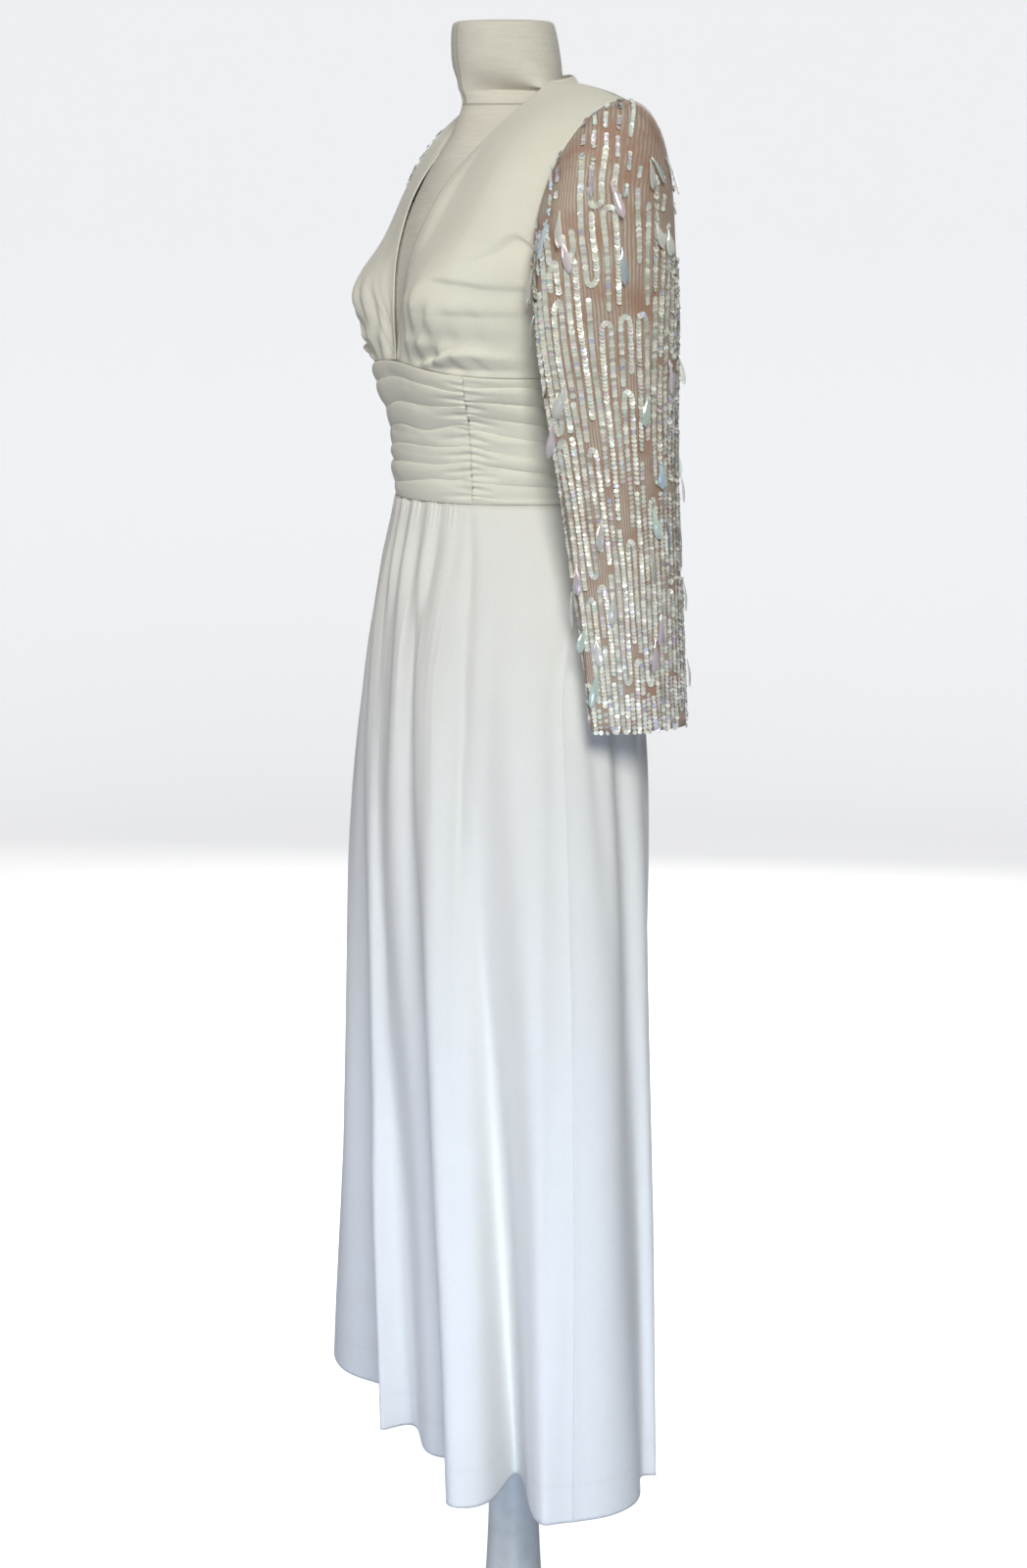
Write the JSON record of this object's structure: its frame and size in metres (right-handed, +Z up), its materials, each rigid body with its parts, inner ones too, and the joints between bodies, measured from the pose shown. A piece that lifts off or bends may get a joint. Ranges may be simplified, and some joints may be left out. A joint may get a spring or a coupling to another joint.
{
  "type": "long dress on a dress form",
  "caption": "Long cream jersey dress with a V neck, ruched midriff, gathered skirt and sequinned net sleeves, on a limbless dress form with a pole and round base.",
  "frame": {"origin": "on the floor under the middle of the stand's base", "axes": "+Z up; the dress faces -Y; the wearer's left is +X"},
  "size_m": [0.5507, 0.34, 1.783],
  "materials": {
    "jersey": "matte knit",
    "sequin_net": "net with glossy iridescent sequins",
    "form_linen": "matte linen",
    "stand_metal": "brushed"
  },
  "bodies": {
    "root": {"bodice_front_left": "jersey", "bodice_front_right": "jersey", "bodice_back": "jersey", "midriff_front": "jersey", "midriff_back": "jersey", "skirt_front": "jersey", "skirt_back": "jersey", "sleeve_left": "sequin_net", "sleeve_right": "sequin_net", "form_body": "form_linen", "stand_pole": "stand_metal", "stand_base": "stand_metal"}
  },
  "joints": []
}
